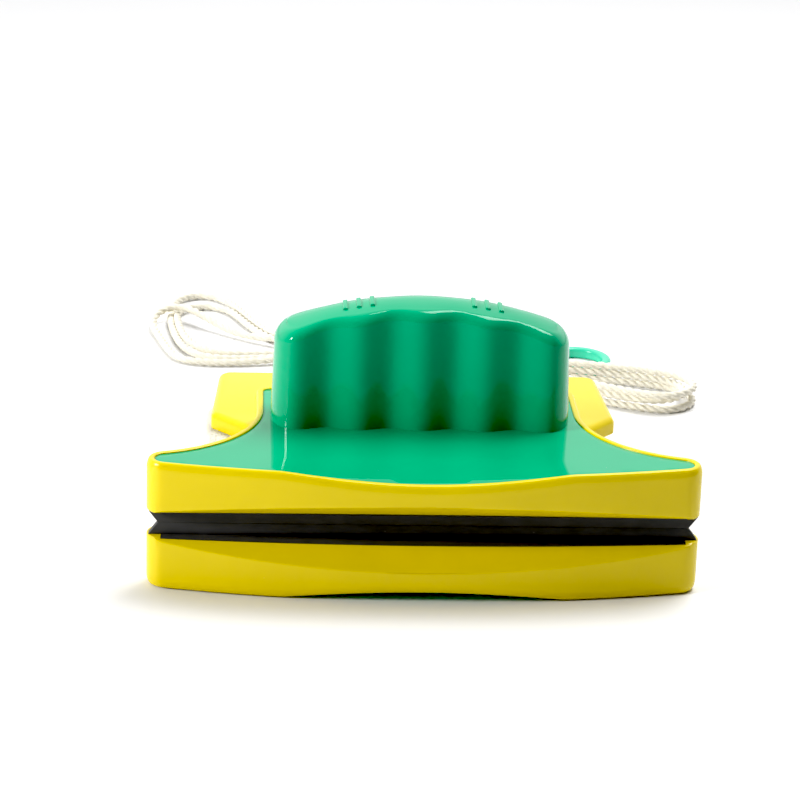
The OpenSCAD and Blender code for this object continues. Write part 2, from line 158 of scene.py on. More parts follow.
def make_camera():
    """Long lens in front, 19.5 degrees above the table and a little to the left."""
    elevation, turn, roll = math.radians(19.5), math.radians(3.191), math.radians(1.874)
    right = Vector((math.cos(turn), -math.sin(turn), 0))
    ahead = Vector((math.sin(turn) * math.cos(elevation), math.cos(turn) * math.cos(elevation),
                    -math.sin(elevation)))
    up = right.cross(ahead)
    rolled_right = right * math.cos(roll) + up * math.sin(roll)
    rolled_up = up * math.cos(roll) - right * math.sin(roll)
    data = bpy.data.cameras.new("camera")
    data.lens, data.sensor_width = 135, 36
    data.clip_start, data.clip_end = 0.05, 60
    camera = add_object("camera", data)
    axes = Matrix((rolled_right, rolled_up, -ahead)).transposed()
    camera.matrix_world = Matrix.Translation((-0.05787, -0.93013, 0.37438)) @ axes.to_4x4()
    bpy.context.scene.camera = camera


make_camera()


# ---------- materials ----------

class Paint:
    """A node material built up one detail at a time on a Principled shader."""

    def __init__(self, name, colour, roughness, **sockets):
        self.material = bpy.data.materials.new(name)
        self.material.use_nodes = True
        self.nodes = self.material.node_tree.nodes
        self.links = self.material.node_tree.links
        self.shader = self.nodes["Principled BSDF"]
        self.coordinate = self.nodes.new("ShaderNodeTexCoord").outputs["Object"]
        self.colour = tuple(colour)
        self.roughness = roughness
        self.normal = None
        self.set("Base Color", (*colour, 1))
        self.set("Roughness", roughness)
        for socket, value in sockets.items():
            self.set(socket.replace("_", " "), value)

    def set(self, socket, value):
        self.shader.inputs[socket].default_value = value

    def add(self, kind, **sockets):
        """New node of a kind, with its sockets set; an underscore stands for a space."""
        node = self.nodes.new("ShaderNode" + kind)
        for socket, value in sockets.items():
            node.inputs[socket.replace("_", " ")].default_value = value
        return node

    def scaled(self, stretch):
        mapping = self.add("Mapping", Scale=stretch)
        self.links.new(self.coordinate, mapping.inputs["Vector"])
        return mapping.outputs["Vector"]

    def noise(self, size, detail=3.0, stretch=(1, 1, 1), distortion=0.0):
        """Noise whose features are about size millimetres across."""
        node = self.add("TexNoise", Scale=1 / (size * MM), Detail=detail, Distortion=distortion)
        self.links.new(self.scaled(stretch), node.inputs["Vector"])
        return node.outputs["Fac"]

    def spots(self, spacing, radius):
        """Round specks of a radius, scattered about one to a cell of the spacing, in millimetres."""
        node = self.add("TexVoronoi", Scale=1 / (spacing * MM))
        self.links.new(self.coordinate, node.inputs["Vector"])
        edge = self.add("MapRange", From_Min=radius / spacing, From_Max=radius / spacing * 0.6)
        self.links.new(node.outputs["Distance"], edge.inputs["Value"])
        return edge.outputs["Result"]

    def ramp(self, value, stops):
        node = self.add("ValToRGB")
        elements = node.color_ramp.elements
        while len(elements) < len(stops):
            elements.new(0.5)
        for element, (position, colour) in zip(elements, stops):
            element.position = position
            element.color = (*colour, 1)
        self.links.new(value, node.inputs["Fac"])
        return node.outputs["Color"]

    def mottle(self, size, spread, detail=3.0, stretch=(1, 1, 1)):
        """Base colour that wanders lighter and darker by spread."""
        dark = tuple(c * (1 - spread) for c in self.colour)
        light = tuple(min(1, c * (1 + spread)) for c in self.colour)
        colour = self.ramp(self.noise(size, detail, stretch), [(0.3, dark), (0.7, light)])
        self.links.new(colour, self.shader.inputs["Base Color"])
        return colour

    def specks(self, base, mask, colour):
        """Small specks of another colour over the base."""
        node = self.add("Mix")
        node.data_type = "RGBA"
        self.links.new(mask, node.inputs["Factor"])
        self.links.new(base, node.inputs[6])
        node.inputs[7].default_value = (*colour, 1)
        self.links.new(node.outputs[2], self.shader.inputs["Base Color"])

    def vary_roughness(self, size, spread, stretch=(1, 1, 1)):
        node = self.add("MapRange", To_Min=max(0.02, self.roughness - spread),
                        To_Max=self.roughness + spread)
        self.links.new(self.noise(size, 4.0, stretch), node.inputs["Value"])
        self.links.new(node.outputs["Result"], self.shader.inputs["Roughness"])

    def bump(self, height, depth, strength=1.0):
        """Relief of a depth in millimetres; each call adds to the one before."""
        node = self.add("Bump", Distance=depth * MM, Strength=strength)
        self.links.new(height, node.inputs["Height"])
        if self.normal:
            self.links.new(self.normal, node.inputs["Normal"])
        self.normal = node.outputs["Normal"]
        self.links.new(self.normal, self.shader.inputs["Normal"])


def moulded_plastic(name, colour, roughness, waviness=0.02, dust=0.0, shine=0.5):
    """Glossy injection moulding: slightly wavy skin, fine scuffs and a little dust."""
    paint = Paint(name, colour, roughness, Specular_IOR_Level=shine)
    base = paint.mottle(28, 0.03)
    if dust:
        paint.specks(base, paint.spots(7.5, dust), (0.7, 0.78, 0.72))
    paint.vary_roughness(9, 0.05)
    paint.bump(paint.noise(14, 1.0), waviness)
    paint.bump(paint.noise(0.5, 2.0), 0.0008)
    return paint.material


def rubber():
    paint = Paint("blade_rubber", (0.05, 0.05, 0.05), 0.65, Specular_IOR_Level=0.5)
    base = paint.mottle(6, 0.08)
    paint.specks(base, paint.spots(5.0, 0.16), (0.16, 0.15, 0.14))
    paint.vary_roughness(4, 0.08, (0.2, 1, 1))
    paint.bump(paint.noise(0.35, 3.0), 0.006)
    return paint.material


def cotton_rope(name, colour):
    """Twisted cotton: soft, fibrous and a little uneven in colour."""
    paint = Paint(name, colour, 0.9, Sheen_Weight=0.25, Sheen_Roughness=0.5, IOR=1.35)
    paint.mottle(3.5, 0.07, 4.0)
    paint.bump(paint.noise(0.28, 4.0, (1, 1, 1), 1.5), 0.09, 0.8)
    paint.bump(paint.noise(0.9, 2.0), 0.12, 0.5)
    return paint.material


def napped_cotton():
    """Short-pile cotton of the cleaning pads."""
    paint = Paint("pad_cotton", (0.80, 0.76, 0.66), 0.95, Sheen_Weight=0.4, Sheen_Roughness=0.4)
    paint.mottle(5, 0.08, 4.0)
    paint.bump(paint.noise(0.45, 4.0, (1, 1, 1), 0.6), 0.25, 0.9)
    paint.bump(paint.noise(3.2, 2.0), 0.3, 0.5)
    return paint.material


def hook_tape():
    """Backing tape with a fine grid of hooks."""
    paint = Paint("pad_backing", (0.66, 0.65, 0.61), 0.8)
    paint.mottle(4, 0.1)
    paint.bump(paint.spots(0.8, 0.35), 0.3)
    return paint.material


def ferrite():
    """Ground ceramic magnet: grey-black with fine grinding lines."""
    paint = Paint("magnet", (0.07, 0.07, 0.075), 0.5, Metallic=0.4)
    paint.mottle(2.5, 0.2)
    paint.bump(paint.noise(0.3, 3.0, (0.05, 1, 1)), 0.01)
    paint.vary_roughness(3, 0.12)
    return paint.material


def zinc(name, colour):
    """Zinc-plated steel with faint rolling marks."""
    paint = Paint(name, colour, 0.34, Metallic=1.0)
    paint.mottle(5, 0.08)
    paint.vary_roughness(2.5, 0.12, (0.15, 1, 1))
    paint.bump(paint.noise(0.4, 3.0, (0.06, 1, 1)), 0.006)
    return paint.material


def nickel():
    paint = Paint("grommet_metal", (0.72, 0.70, 0.66), 0.16, Metallic=1.0)
    paint.mottle(2, 0.06)
    paint.vary_roughness(1.5, 0.08)
    paint.bump(paint.noise(0.8, 3.0), 0.004)
    return paint.material


def foam():
    """Closed-cell foam with small open pores at its cut faces; the pores are painted darker, as painted shade
    inside them.
    """
    paint = Paint("foam", (0.16, 0.16, 0.17), 0.95)
    base = paint.mottle(3, 0.12)
    # painted shade: the pores are specked darker than the foam around them
    paint.specks(base, paint.spots(0.9, 0.28), (0.05, 0.05, 0.055))
    paint.bump(paint.spots(0.9, 0.3), -0.2)
    return paint.material


def natural_plastic(name, colour):
    """Uncoloured inner moulding with a fine spark-eroded texture."""
    paint = Paint(name, colour, 0.5, IOR=1.5)
    paint.mottle(12, 0.05)
    paint.vary_roughness(4, 0.08)
    paint.bump(paint.noise(0.25, 2.0), 0.012)
    return paint.material


YELLOW = (0.80, 0.625, 0.012)
GREEN = (0.001, 0.39, 0.185)
MATERIALS = {
    "shell_yellow": moulded_plastic("shell_yellow", YELLOW, 0.25, shine=0.4),
    "cover_green": moulded_plastic("cover_green", GREEN, 0.05, 0.012, dust=0.12),
    "grip_green": moulded_plastic("grip_green", GREEN, 0.09, 0.03, dust=0.09, shine=0.28),
    "magnet": ferrite(),
    "steel_plate": zinc("steel_plate", (0.60, 0.61, 0.63)),
    "tray_plastic": natural_plastic("tray_plastic", (0.80, 0.78, 0.72)),
    "foam": foam(),
    "blade_rubber": rubber(),
    "retainer_plastic": natural_plastic("retainer_plastic", (0.05, 0.05, 0.055)),
    "pad_cotton": napped_cotton(),
    "pad_backing": hook_tape(),
    "screw_steel": zinc("screw_steel", (0.66, 0.66, 0.68)),
    "grommet_metal": nickel(),
    "cord_cotton": cotton_rope("cord_cotton", (0.86, 0.82, 0.70)),
    "tie_string": cotton_rope("tie_string", (0.84, 0.80, 0.69)),
    # painted highlight: the ring's green is lighter than GREEN to stand in for the bright light on it
    "ring_plastic": moulded_plastic("ring_plastic", (0.06, 0.60, 0.38), 0.2),
}


# ---------- mesh helpers ----------

def new_piece(name, points, faces, slot, sharp=35):
    """Closed mesh piece from points in millimetres, with edges over sharp degrees kept crisp."""
    mesh = bpy.data.meshes.new(name)
    mesh.from_pydata((np.asarray(points, float) * MM).tolist(), [], [list(map(int, f)) for f in faces])
    piece = add_object(name, mesh)
    tidy_mesh(piece)
    mesh.materials.append(MATERIALS[slot])
    smooth(piece, sharp)
    return piece


def tidy_mesh(piece):
    """Merges doubled points and turns every face outwards."""
    mesh = bmesh.new()
    mesh.from_mesh(piece.data)
    bmesh.ops.remove_doubles(mesh, verts=mesh.verts, dist=0.002 * MM)
    bmesh.ops.recalc_face_normals(mesh, faces=mesh.faces)
    mesh.to_mesh(piece.data)
    mesh.free()


def smooth(piece, sharp):
    piece.data.polygons.foreach_set("use_smooth", [True] * len(piece.data.polygons))
    piece.data.set_sharp_from_angle(angle=math.radians(sharp))


def bake(piece):
    """Applies a piece's modifiers to its mesh."""
    graph = bpy.context.evaluated_depsgraph_get()
    mesh = bpy.data.meshes.new_from_object(piece.evaluated_get(graph))
    piece.modifiers.clear()
    piece.data = mesh


def combine(target, steps):
    """Joins tools to the target or cuts them from it, in order: steps are (operation, tool)."""
    for operation, other in steps:
        change = target.modifiers.new("combine", "BOOLEAN")
        change.operation, change.solver, change.object = operation, "EXACT", other
        bake(target)
        bpy.data.objects.remove(other)
    tidy_mesh(target)
    smooth(target, 35)


def soften(piece, chosen, width):
    """Rounds the creases whose ends are both chosen, by a width in millimetres."""
    mesh = bmesh.new()
    mesh.from_mesh(piece.data)
    weight = mesh.edges.layers.float.new("bevel_weight_edge")
    for edge in mesh.edges:
        crease = len(edge.link_faces) == 2 and edge.calc_face_angle() > math.radians(20)
        if crease and all(chosen(vertex.co / MM) for vertex in edge.verts):
            edge[weight] = 1.0
    mesh.to_mesh(piece.data)
    mesh.free()
    bevel = piece.modifiers.new("soften", "BEVEL")
    bevel.width, bevel.segments, bevel.limit_method = width * MM, 3, "WEIGHT"
    bevel.use_clamp_overlap = False
    bake(piece)


def finish_piece(piece, body, slot, *nodes):
    """Gives a piece its body and hides the CAD nodes it stands for; slot is not used."""
    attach(piece, body)
    if nodes:
        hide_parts(*nodes)
    return piece


def refinish(node, slot):
    """Gives a CAD node that keeps its own shape its finished material."""
    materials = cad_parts[node].data.materials
    materials.clear()
    materials.append(MATERIALS[slot])


def placed(points, side):
    """Points counted from the glass, moved to the inner (+1) or outer (-1) half."""
    points = np.array(points, float)
    points[:, 2] = GLASS_Z + side * points[:, 2]
    return points


def ring(outline, z):
    """Outline at a height, which may differ from point to point."""
    outline = np.asarray(outline, float)
    return np.column_stack([outline, np.broadcast_to(z, len(outline))])


def bands(count, total, spans):
    """Faces of the spans between total rings of count points each; a full turn wraps round."""
    return [[a * count + k, a * count + (k + 1) % count, (a + 1) % total * count + (k + 1) % count,
             (a + 1) % total * count + k] for a in range(spans) for k in range(count)]


def closed_loft(rings):
    """Points and faces through rings, with the last joined to the first."""
    return np.concatenate(rings), bands(len(rings[0]), len(rings), len(rings))


def loft(rings, caps=True):
    """Points and faces of a solid through rings that all have the same number of points."""
    count = len(rings[0])
    faces = bands(count, len(rings), len(rings) - 1)
    if caps:
        faces.append(list(range(count))[::-1])
        faces.append([(len(rings) - 1) * count + k for k in range(count)])
    return np.concatenate(rings), faces


def fillet(radius, steps):
    """Pairs (inset, drop) of a quarter round, from the wall to the top."""
    angles = np.linspace(0, math.pi / 2, steps + 1)
    return [(radius * (1 - math.cos(a)), radius * (1 - math.sin(a))) for a in angles]


def inside(points, outline):
    """Which points lie inside an outline."""
    x, y = points[:, 0, None], points[:, 1, None]
    a, b = outline, np.roll(outline, -1, axis=0)
    crosses = (a[:, 1] > y) != (b[:, 1] > y)
    with np.errstate(divide="ignore", invalid="ignore"):
        at = (b[:, 0] - a[:, 0]) * (y - a[:, 1]) / (b[:, 1] - a[:, 1]) + a[:, 0]
    return (crosses & (x < at)).sum(axis=1) % 2 == 1


def cap(outline, height, cell):
    """Points and triangles that fill an outline at height(points), cell millimetres apart."""
    low, high = outline.min(axis=0), outline.max(axis=0)
    xs = np.arange(low[0] + cell / 2, high[0], cell)
    ys = np.arange(low[1] + cell / 2, high[1], cell)
    grid = np.array([(x, y) for y in ys for x in xs])
    grid = grid[inside(grid, outline)]
    gaps = np.sqrt(((grid[:, None, :] - outline[None, :, :]) ** 2).sum(axis=2)).min(axis=1)
    points = np.concatenate([outline, grid[gaps > cell * 0.45]])
    count = len(outline)
    edges = [(k, (k + 1) % count) for k in range(count)]
    flat, _, faces, *_ = geometry.delaunay_2d_cdt([Vector(p) for p in points], edges, [], 1, 1e-6)
    flat = np.array([tuple(p) for p in flat])
    return np.column_stack([flat, height(flat)]), faces


def merged(*parts):
    """Several (points, faces) as one."""
    points, faces, start = [], [], 0
    for part_points, part_faces in parts:
        points.append(np.asarray(part_points, float))
        faces += [[start + k for k in face] for face in part_faces]
        start += len(part_points)
    return np.concatenate(points), faces


def turned(profile, centre, steps):
    """Solid of revolution about a vertical axis, from a closed profile of (radius, z)."""
    angles = np.linspace(0, 2 * math.pi, steps, endpoint=False)
    return closed_loft([[(centre[0] + r * math.cos(a), centre[1] + r * math.sin(a), z)
                         for r, z in profile] for a in angles])


def prism(outline, z0, z1):
    """Upright solid over an outline."""
    return loft([ring(outline, z0), ring(outline, z1)])


def post(centre, radius, z0, z1):
    """Plain round post, used to join or cut."""
    angles = np.linspace(0, 2 * math.pi, 32, endpoint=False)
    outline = np.column_stack([centre[0] + radius * np.cos(angles), centre[1] + radius * np.sin(angles)])
    return prism(outline, z0, z1)


def brick(x0, x1, y0, y1, z0, z1):
    """Plain block, used to cut."""
    return prism([(x0, y0), (x1, y0), (x1, y1), (x0, y1)], z0, z1)


def tool(shape, side):
    """Temporary solid for combine()."""
    points, faces = shape
    return new_piece("tool", placed(points, side), faces, "shell_yellow")


def joined(side, *shapes):
    """Steps for combine() that join shapes."""
    return [("UNION", tool(shape, side)) for shape in shapes]


def cut_out(side, *shapes):
    """Steps for combine() that cut shapes."""
    return [("DIFFERENCE", tool(shape, side)) for shape in shapes]


# ---------- outlines ----------

def arc(centre, radius, start, end, steps):
    """Points on an arc, with angles in degrees."""
    angles = np.radians(np.linspace(start, end, steps + 1))
    return np.column_stack([centre[0] + radius * np.cos(angles), centre[1] + radius * np.sin(angles)])


def heading(a, b):
    return math.degrees(math.atan2(b[1] - a[1], b[0] - a[0]))


def raised_outline(inset):
    """Plan of the raised body: bowed front, V tips, hollow sides and a narrow waist."""
    corner = (SIDE_X - FRONT_CORNER_R,
              BOW_Y - math.sqrt((FRONT_R - FRONT_CORNER_R) ** 2 - (SIDE_X - FRONT_CORNER_R) ** 2))
    tip = (SIDE_X - TIP_R,
           HOLLOW_Y - math.sqrt((HOLLOW_R + TIP_R) ** 2 - (HOLLOW_X - SIDE_X + TIP_R) ** 2))
    hollow = (HOLLOW_X, HOLLOW_Y)
    rear = (WAIST_X - REAR_CORNER_R, RAISED_REAR_Y - REAR_CORNER_R)
    to_corner, to_tip = heading((0, BOW_Y), corner), heading(tip, hollow)
    edge = np.concatenate([
        arc((0, BOW_Y), FRONT_R - inset, -90, to_corner, 60)[1:],
        arc(corner, FRONT_CORNER_R - inset, to_corner, 0, 12)[1:],
        arc(tip, max(TIP_R - inset, 0.05), 0, to_tip, 10),
        arc(hollow, HOLLOW_R + inset, to_tip + 180, 180, 36)[1:],
        arc(rear, REAR_CORNER_R - inset, 0, 90, 10),
    ])
    front = np.array([[0, FRONT_Y + inset]])
    return np.concatenate([front, edge, edge[::-1] * (-1, 1)])


def rounded_outline(points):
    """Closed outline through corners (x, y, radius)."""
    rounds = []
    for i, (x, y, radius) in enumerate(points):
        here = np.array([x, y])
        u = np.array(points[i - 1][:2]) - here
        v = np.array(points[(i + 1) % len(points)][:2]) - here
        u, v = u / np.linalg.norm(u), v / np.linalg.norm(v)
        half = math.acos(np.clip(u @ v, -1, 1)) / 2
        middle = (u + v) / np.linalg.norm(u + v)
        centre = here + middle * radius / math.sin(half)
        start = heading(centre, here + u * radius / math.tan(half))
        sweep = (heading(centre, here + v * radius / math.tan(half)) - start + 180) % 360 - 180
        rounds.append(arc(centre, radius, start, start + sweep, max(3, math.ceil(abs(sweep) / 9))))
    return np.concatenate(rounds)


def inset_outline(outline, distance):
    """Outline moved inwards along its corner bisectors."""
    ahead = np.roll(outline, -1, axis=0) - outline
    ahead /= np.linalg.norm(ahead, axis=1, keepdims=True)
    behind = np.roll(ahead, 1, axis=0)
    inward = np.column_stack([-(ahead + behind)[:, 1], (ahead + behind)[:, 0]])
    inward /= np.linalg.norm(inward, axis=1, keepdims=True)
    stretch = np.abs((inward * np.column_stack([-ahead[:, 1], ahead[:, 0]])).sum(axis=1))
    return outline + inward * (distance / np.maximum(stretch, 0.5))[:, None]


def eased(value, softness):
    """The value where it is positive and nothing where it is negative, with a soft corner between."""
    return (value + np.sqrt(value ** 2 + softness ** 2)) / 2


def scoop(points):
    """Depth of the finger scoop below the rim at plan points."""
    x, y = points[:, 0], points[:, 1]
    across = eased(1 - (x / SCOOP_X) ** 2, SCOOP_SIDE_EASE)
    back = eased((FRONT_Y + SCOOP_RUN - y) / SCOOP_RUN, SCOOP_REAR_EASE)
    return SCOOP_DIP * across * back


# ---------- shells and covers ----------

def shell_cup(cover_top):
    """Raised body as one loft: outside wall, rounded rim, seat for the cover and cup floor."""
    base_fillet, rim_lead = 0.5, 0.8
    rim_inset, rim_drop, inner_inset, inner_drop = 1.2, 3.2, 0.7, 0.4
    wall_heights = (8.0, 11.0)
    seat_z = cover_top - COVER_T
    rings = [ring(raised_outline(d), FACE_Z + h) for d, h in fillet(base_fillet, 4)[::-1]]
    rings += [ring(raised_outline(0), z) for z in wall_heights]
    rings.append(ring(raised_outline(0), RIM_Z - rim_drop - rim_lead - scoop(raised_outline(0))))
    for inset, drop in fillet(1, 9):
        outline = raised_outline(rim_inset * inset)
        rings.append(ring(outline, RIM_Z - rim_drop * drop - scoop(outline)))
    for inset, drop in fillet(1, 5)[::-1]:
        outline = raised_outline(WALL - inner_inset * inset)
        rings.append(ring(outline, RIM_Z - inner_drop * drop - scoop(outline)))
    for inset in (WALL, SEAT_INSET):
        outline = raised_outline(inset)
        rings.append(ring(outline, seat_z - scoop(outline)))
    rings.append(ring(raised_outline(SEAT_INSET), CUP_FLOOR_Z))
    return loft(rings)


def deck():
    """Low rear deck with well rounded top edges."""
    outline = rounded_outline(DECK_CORNERS)
    base = fillet(0.5, 3)[::-1]
    rings = [ring(inset_outline(outline, d), FACE_Z + h) for d, h in base]
    rings += [ring(inset_outline(outline, d), DECK_Z - h) for d, h in fillet(DECK_FILLET, 8)]
    return loft(rings)


def front_bevel():
    """Space under the sloping front of the shell."""
    front, side = FRONT_Y - 4, SIDE_X + 2
    profile = [(BEVEL_Y, -1.0), (BEVEL_Y, FACE_Z),
               (front, FACE_Z + (BEVEL_Y - front) * BEVEL_SLOPE), (front, -1.0)]
    points = [(x, y, z) for x in (-side, side) for y, z in profile]
    faces = [[0, 1, 2, 3], [7, 6, 5, 4], [0, 4, 5, 1], [1, 5, 6, 2], [2, 6, 7, 3], [3, 7, 4, 0]]
    return np.array(points), faces


def root_plan(spare):
    """Plan of the blade's root, bowed in front; spare widens it for the channel."""
    half = CHANNEL_X - CLEAR + spare
    part = np.linspace(-1, 1, 41)
    front = np.column_stack([half * part, ROOT_Y + ROOT_BOW * part ** 2 - spare])
    return np.concatenate([front, [(half, BLADE_BACK_Y), (-half, BLADE_BACK_Y)]])


def pocket():
    """Space for the magnets behind the blade channel."""
    outline = raised_outline(SEAT_INSET)
    return prism(outline[outline[:, 1] > POCKET_Y], POCKET_Z, CUP_FLOOR_Z + 1)


def make_shell(name, side, body, cover_top):
    """Yellow shell of one half: cup and deck joined, then bevel, channel, pockets and screw holes cut."""
    points, faces = shell_cup(cover_top)
    piece = new_piece(name + "_moulding", placed(points, side), faces, "shell_yellow")
    steps = joined(side, deck())
    steps += cut_out(side, pocket(), front_bevel(), prism(root_plan(CLEAR), FACE_Z - 1, CHANNEL_TOP_Z))
    steps += cut_out(side, *[brick(x - MAGNET_HALF_W, x + MAGNET_HALF_W, *MAGNET_Y, FACE_Z - 1,
                                   DECK_Z - MAGNET_ROOF) for x in MAGNET_COLUMNS])
    steps += joined(side, *[post(at, BOSS_R, COUNTERBORE_Z - 1, BOSS_SPLIT_Z) for at in CASE_SCREWS])
    for at in CASE_SCREWS:
        steps += cut_out(side, post(at, COUNTERBORE_R, FACE_Z - 1, COUNTERBORE_Z),
                         post(at, SCREW_CLEAR_R, FACE_Z - 1, RIM_Z))
    if side < 0:
        hole = (0, GROMMET_Y)
        steps += cut_out(side, post(hole, GROMMET_FLANGE_R, FACE_Z - 1, GROMMET_FLANGE_Z),
                         post(hole, GROMMET_BARREL_R, FACE_Z - 1, DECK_Z + 1))
    combine(piece, steps)
    round_off = 0.3

    def on_front_crease(point):
        """Whether a point is where the front wall meets the bevel."""
        depth = side * (point.z - GLASS_Z)
        cut = FACE_Z + (BEVEL_Y - point.y) * BEVEL_SLOPE
        wall_y = BOW_Y - math.sqrt((FRONT_R - round_off) ** 2 - point.x ** 2)
        inward = abs(point.x) < SIDE_X - round_off and point.y > wall_y
        return point.y < BEVEL_Y - 0.05 and abs(depth - cut) < 0.02 and not inward

    soften(piece, on_front_crease, round_off)
    smooth(piece, 35)
    return finish_piece(piece, body, "shell_yellow", name)


def make_cover(name, side, body, cover_top, holes):
    """Green plate let into the rim, dipping with the finger scoop, with screw bosses behind it."""
    under = cover_top - COVER_T
    edge, edge_round = WALL + 0.03, 0.15
    rings = []
    outline = raised_outline(edge)
    rings.append(ring(outline, under - scoop(outline)))
    for inset, drop in fillet(edge_round, 3):
        outline = raised_outline(edge + inset)
        rings.append(ring(outline, cover_top - drop - scoop(outline)))
    wall_points, wall_faces = loft(rings, caps=False)
    top = cap(raised_outline(edge + edge_round), lambda p: cover_top - scoop(p), 2.5)
    bottom = cap(raised_outline(edge), lambda p: under - scoop(p), 5.0)
    points, faces = merged((wall_points, wall_faces), top, bottom)
    piece = new_piece(name + "_plate", placed(points, side), faces, "cover_green")
    pilot_top = BOSS_SPLIT_Z + PILOT_DEPTH
    steps = joined(side, *[post(at, BOSS_R, BOSS_SPLIT_Z, under + 1) for at in CASE_SCREWS])
    steps += cut_out(side, *[post(at, PILOT_R, BOSS_SPLIT_Z - 1, pilot_top) for at in CASE_SCREWS])
    steps += cut_out(side, *[post(at, SCREW_CLEAR_R, under - 4, cover_top + 2) for at in holes])
    combine(piece, steps)
    return finish_piece(piece, body, "cover_green", name)


# ---------- hand grip ----------

def grip_outline(inset, lobes=1.0):
    """Lobed plan of the grip, inset all round; lobes fades the grooves."""
    flat = 2 * GROOVE_PITCH
    end = GRIP_W / 2 - flat - inset
    half = GRIP_D / 2 - inset
    x = np.linspace(-flat, flat, 97)
    groove = lobes * GROOVE_DEPTH / 2 * (1 - np.cos(2 * np.pi * x / GROOVE_PITCH))
    a = np.radians(np.linspace(-90, 90, 25)[1:-1])
    end_right = np.column_stack([flat + end * np.cos(a), half * np.sin(a)])
    front = np.column_stack([x, groove - half])
    return np.concatenate([front, end_right, front[::-1] * (1, -1), end_right[::-1] * (-1, 1)])


def arch(x):
    """Height of the grip's arched top above the cover at x."""
    return GRIP_H - ARCH_R + np.sqrt(ARCH_R ** 2 - x ** 2)


def grip_roof(outline):
    """Height of the grip's top at plan points: the arch, falling away towards the rear."""
    rearward = np.maximum(outline[:, 1], 0) / (GRIP_D / 2)
    return arch(outline[:, 0]) - REAR_FALL * rearward ** 2


def grip_skin(inset):
    """Rings of the grip's wall, its top fillet and its crown, inset all round."""
    top_fillet = GRIP_FILLET - inset
    lobe_fade = 0.6
    top_z = grip_roof(grip_outline(inset)) - inset
    rings = []
    for part in (0.0, 0.01, 0.2, 0.4, 0.6, 0.8):
        rings.append(ring(grip_outline(inset + GRIP_DRAFT * part), part * (top_z - top_fillet - 1)))
    for round_in, drop in fillet(top_fillet, 10):
        outline = grip_outline(inset + GRIP_DRAFT + round_in, 1 - lobe_fade * round_in / top_fillet)
        rings.append(ring(outline, grip_roof(outline) - inset - GRIP_CROWN - drop))
    last = grip_outline(inset + GRIP_DRAFT + top_fillet, 1 - lobe_fade)
    for shrink in (0.8, 0.6, 0.4, 0.2, 0.0):
        outline = last * (1, shrink)
        rings.append(ring(outline, grip_roof(outline) - inset - GRIP_CROWN * shrink ** 2))
    return rings


def grip_post(x):
    """Screw post under the grip's roof, with a blind pilot hole from below."""
    roof = arch(x) - GRIP_WALL - 0.1
    axis = 0.01
    profile = [(GRIP_PILOT_R, 0.0), (BOSS_R - 0.2, 0.0), (BOSS_R, 0.3), (BOSS_R, roof), (axis, roof),
               (axis, GRIP_PILOT_DEPTH), (GRIP_PILOT_R, GRIP_PILOT_DEPTH)]
    return turned(profile, (x, 0), 32)


def make_grip():
    """Hollow grip with five lobes, two groups of raised bars on top and screw posts inside."""
    hollow = loft(grip_skin(GRIP_WALL)[::-1] + grip_skin(0.0), caps=False)
    posts = [grip_post(x) for x, _ in GRIP_SCREWS]
    points, faces = merged(hollow, *posts, *grip_bars())
    points = points + (0, GRIP_Y, INNER_TOP)
    piece = new_piece("hand_grip_shell", placed(points, 1), faces, "grip_green", 40)
    return finish_piece(piece, INNER, "grip_green", "hand_grip")


def grip_bars():
    """Six plain raised bars on the arched top, with rounded edges."""
    half_w, half_l, corner_r = 0.8, 4.5, 0.4
    group_lean, step_lean = 9.5, 2
    bars = []
    for group in (-1, 1):
        for step in (-1, 0, 1):
            lean = math.radians(group * group_lean + step * step_lean)
            rings = []
            for shrink, z in ((0.0, -0.6), (0.0, 0.2), (0.15, 0.42), (0.4, 0.5)):
                x, y = half_w - shrink, half_l - shrink
                outline = [(a * x, b * y, corner_r) for a, b in ((-1, -1), (1, -1), (1, 1), (-1, 1))]
                rings.append(ring(rounded_outline(outline), ARCH_R + z))
            points, faces = loft(rings)
            x = points[:, 0] * math.cos(lean) + points[:, 2] * math.sin(lean)
            z = points[:, 2] * math.cos(lean) - points[:, 0] * math.sin(lean) + GRIP_H - ARCH_R
            bars.append((np.column_stack([x, points[:, 1], z]), faces))
    return bars


# ---------- blades ----------

def make_blade(name, side, body):
    """Rubber lip with slanted ends, on a bowed root that is flush with the shell's face and bevel."""
    gap = 0.02
    lip_top = FACE_Z + 0.4
    reach = BLADE_TIP_X + (BLADE_BASE_X - BLADE_TIP_X) * (lip_top - gap) / FACE_Z
    lip = [(-BLADE_TIP_X, gap), (BLADE_TIP_X, gap), (reach, lip_top), (-reach, lip_top)]
    points = [(x, y, z) for y in (BLADE_Y, BLADE_Y + BLADE_T) for x, z in lip]
    faces = [[3, 2, 1, 0], [4, 5, 6, 7], [0, 1, 5, 4], [1, 2, 6, 5], [2, 3, 7, 6], [3, 0, 4, 7]]
    root = tool(prism(root_plan(0), FACE_Z, CHANNEL_TOP_Z - CLEAR), side)
    behind = brick(-SIDE_X, SIDE_X, BLADE_Y + BLADE_T, BLADE_BACK_Y + 1, FACE_Z - 1, FOOT_Z)
    combine(root, cut_out(side, front_bevel(), behind))
    piece = new_piece(name + "_rubber", placed(points, side), faces, "blade_rubber")
    trims = []
    for x0, x1 in ((-SIDE_X - 1, -CHANNEL_X + CLEAR), (CHANNEL_X - CLEAR, SIDE_X + 1)):
        trims += cut_out(side, brick(x0, x1, BLADE_Y - 1, BLADE_BACK_Y + 1, FACE_Z - gap, FACE_Z + 2))
    combine(piece, trims + [("UNION", root)])
    sharp = 40
    edge = piece.modifiers.new("edge", "BEVEL")
    edge.width, edge.segments, edge.limit_method = 0.3 * MM, 3, "ANGLE"
    edge.angle_limit = math.radians(sharp)
    bake(piece)
    smooth(piece, sharp)
    return finish_piece(piece, body, "blade_rubber", name)


# ---------- cleaning pads ----------

